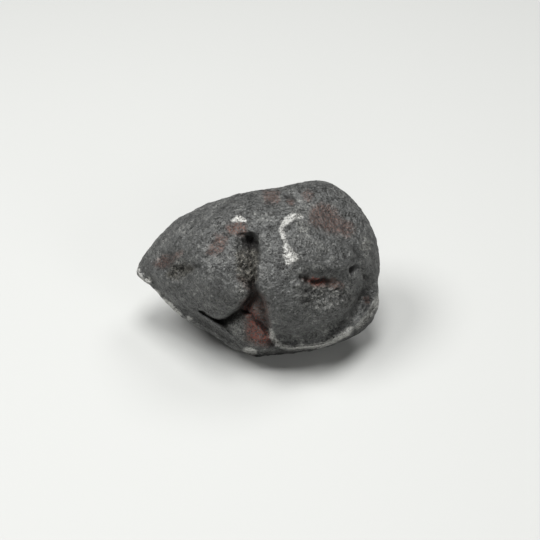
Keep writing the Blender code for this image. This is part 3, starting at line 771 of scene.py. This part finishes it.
def weatheredIron():
    material = bpy.data.materials.new("weatheredIron")
    material.use_nodes = True
    tree = material.node_tree
    shader = tree.nodes["Principled BSDF"]
    onStone = addNode(tree, "ShaderNodeTexCoord").outputs["Object"]
    where = addNode(tree, "ShaderNodeMapping", Vector=onStone, Scale=(1 / mm, 1 / mm, 1 / mm)).outputs[0]
    masks = {}
    for markKind in finishesAndShade:
        masks[markKind] = addNode(tree, "ShaderNodeAttribute", {"attribute_name": markKind}).outputs["Fac"]

    broad = noiseOf(tree, where, 0.22, 2.0)
    mottle = noiseOf(tree, where, 0.85, 3.0, 0.6)
    grain = noiseOf(tree, where, 2.4, 3.0, 0.65)
    fine = noiseOf(tree, where, 5.5, 2.0)
    tone = weighed(tree, (broad, 0.25), (mottle, 0.35), (grain, 0.40))

    # crack lines: two sizes all over, and closer ones where the crust is rough
    cracks = calculate(tree, "MAXIMUM", crackLines(tree, where, 0.55, 0.018, 0.44),
                       crackLines(tree, where, 1.25, 0.024, 0.47))
    roughCracks = calculate(tree, "MULTIPLY", masks["rough"], crackLines(tree, where, 0.9, 0.05, 0.30))
    cracks = calculate(tree, "MAXIMUM", cracks, roughCracks)
    pebbles = addNode(tree, "ShaderNodeTexVoronoi", {"feature": "SMOOTH_F1"}, Vector=where, Scale=1.5,
                      Smoothness=0.6).outputs["Distance"]

    # crust first, then what lies on it
    colour = blended(tree, ramped(tree, tone, 0.36, 0.50), ironLook["crustDark"], ironLook["crustMiddle"])
    colour = blended(tree, ramped(tree, tone, 0.50, 0.64), colour, ironLook["crustLight"])
    soilShare = calculate(tree, "MULTIPLY", masks["soil"], ramped(tree, grain, 0.35, 0.62))
    colour = blended(tree, soilShare, colour, ironLook["soil"])
    rustTone = blended(tree, ramped(tree, tone, 0.40, 0.60), ironLook["rustDeep"], ironLook["rustLight"])
    rustShare = calculate(tree, "MULTIPLY", masks["rust"], ramped(tree, grain, 0.34, 0.60))
    colour = blended(tree, rustShare, colour, rustTone)
    redShare = calculate(tree, "MULTIPLY", masks["red"], ramped(tree, grain, 0.40, 0.60))
    colour = blended(tree, redShare, colour, ironLook["red"])
    palePlaces = calculate(tree, "MAXIMUM", masks["pale"], calculate(tree, "MULTIPLY", masks["rough"], 0.45))
    paleShare = calculate(tree, "MULTIPLY", palePlaces, ramped(tree, grain, 0.42, 0.60))
    colour = blended(tree, paleShare, colour, ironLook["pale"])
    bareShare = calculate(tree, "MULTIPLY", masks["bare"], ramped(tree, grain, 0.32, 0.48))
    colour = blended(tree, bareShare, colour, ironLook["bare"])

    # dark specks and light flecks in some cells of a fine pattern
    cells = addNode(tree, "ShaderNodeTexVoronoi", Vector=where, Scale=2.2)
    chance = addNode(tree, "ShaderNodeSeparateColor", Color=cells.outputs["Color"])
    darkSpecks = calculate(tree, "MULTIPLY", ramped(tree, cells.outputs["Distance"], 0.36, 0.22),
                           ramped(tree, chance.outputs[0], 0.50, 0.60))
    lightFlecks = calculate(tree, "MULTIPLY", ramped(tree, cells.outputs["Distance"], 0.30, 0.14),
                            ramped(tree, chance.outputs[1], 0.78, 0.86))
    # painted shade in small pits: the dark specks also sink in the bump and are painted near-black
    colour = blended(tree, calculate(tree, "MULTIPLY", darkSpecks, 0.7), colour, ironLook["creviceAndPaintedShade"])
    colour = blended(tree, calculate(tree, "MULTIPLY", lightFlecks, 0.55), colour, ironLook["pale"])
    # painted shade in the crack lines, which also sink in the bump
    colour = blended(tree, calculate(tree, "MULTIPLY", cracks, 0.8), colour, ironLook["creviceAndPaintedShade"])
    # painted shade from the marks and the carved grooves, laid in near-black
    colour = blended(tree, masks["creviceAndPaintedShade"], colour, ironLook["creviceAndPaintedShade"])
    tree.links.new(colour, shader.inputs["Base Color"])

    added = weighed(tree, (grain, 0.35), (rustShare, 0.25), (masks["rough"], 0.12))
    dullness = calculate(tree, "ADD", added, ironLook["dullness"], clamp=True)
    tree.links.new(dullness, shader.inputs["Roughness"])
    rustCover = calculate(tree, "MULTIPLY", rustShare, ironLook["metal"])
    tree.links.new(calculate(tree, "SUBTRACT", ironLook["metal"], rustCover), shader.inputs["Metallic"])

    height = weighed(tree, (grain, 1.0), (fine, 0.35), (darkSpecks, -0.6), (cracks, -0.9), (pebbles, -1.2))
    bump = addNode(tree, "ShaderNodeBump", Height=height, Strength=1.0, Distance=ironLook["grainHeight"] * mm)
    tree.links.new(bump.outputs[0], shader.inputs["Normal"])
    return material


mesh.materials.append(weatheredIron())
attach(stone, "root")
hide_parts("meteorite")
say("weathered iron")

table = {"side": 1.0, "colour": (0.50, 0.505, 0.49), "roughness": 0.7}


def makeTable():
    top = bpy.data.meshes.new("tableTop")
    reach = table["side"] / 2
    rimPoints = [(-reach, -reach, 0), (reach, -reach, 0), (reach, reach, 0), (-reach, reach, 0)]
    top.from_pydata(rimPoints, [], [(0, 1, 2, 3)])
    material = bpy.data.materials.new("paleTable")
    material.use_nodes = True
    shader = material.node_tree.nodes["Principled BSDF"]
    shader.inputs["Base Color"].default_value = (*table["colour"], 1.0)
    shader.inputs["Roughness"].default_value = table["roughness"]
    top.materials.append(material)
    made = bpy.data.objects.new("tableTop", top)
    bpy.context.scene.collection.objects.link(made)


# Soft round lamps over the table: degrees round from the front, degrees up, watts.
studio = {
    "lamps": {
        "overhead": (0, 90, 2.95),
        "leftSide": (270, 60, 2.5),
        "behindRight": (135, 60, 0.92),
        "frontRight": (45, 30, 0.52),
        "front": (0, 30, 0.36),
    },
    "lampAway": 0.6,
    "lampWidth": 0.25,
    "wallColour": (0.76, 0.77, 0.76),
    "wallGlow": 0.02,          # what the wall adds to the light on the stone
}


def hangLamp(name, turn, rise, watts):
    turn, rise = math.radians(turn), math.radians(rise)
    flat = math.cos(rise)
    towards = Vector((math.sin(turn) * flat, -math.cos(turn) * flat, math.sin(rise)))
    light = bpy.data.lights.new(name, "AREA")
    light.shape, light.size, light.energy = "DISK", studio["lampWidth"], watts
    made = bpy.data.objects.new(name, light)
    made.location = towards * studio["lampAway"]
    made.rotation_euler = (-towards).to_track_quat("-Z", "Y").to_euler()
    bpy.context.scene.collection.objects.link(made)


def placeCamera():
    lean = math.radians(stoneShape["leanDegrees"])
    outOfFace = Vector((0.0, -math.cos(lean), math.sin(lean)))
    middle = Vector(shift) * mm + Vector((cameraView["aside"] * mm, 0, 0))
    lens = bpy.data.cameras.new("camera")
    lens.sensor_width = 36.0
    lens.lens = 18.0 / math.tan(math.radians(cameraView["angle"] / 2))
    lens.clip_start = 0.01
    made = bpy.data.objects.new("camera", lens)
    made.location = middle + outOfFace * cameraView["distance"] * mm
    made.rotation_euler = (-outOfFace).to_track_quat("-Z", "Y").to_euler()
    bpy.context.scene.collection.objects.link(made)
    bpy.context.scene.camera = made


def paintWalls():
    # the wall behind the table is pale to look at, and lights the stone hardly at all
    world = bpy.data.worlds.new("studio")
    bpy.context.scene.world = world
    world.use_nodes = True
    tree = world.node_tree
    wall = tree.nodes["Background"]
    wall.inputs["Color"].default_value = (*studio["wallColour"], 1.0)
    seen = tree.nodes.new("ShaderNodeLightPath").outputs["Is Camera Ray"]
    tree.links.new(ramped(tree, seen, 0.0, 1.0, studio["wallGlow"], 1.0), wall.inputs["Strength"])


makeTable()
for name, setting in studio["lamps"].items():
    hangLamp(name, *setting)
paintWalls()
bpy.context.scene.view_settings.view_transform = "Standard"
placeCamera()
say("table, lamps and camera")

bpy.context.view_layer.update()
say("sizes kept")
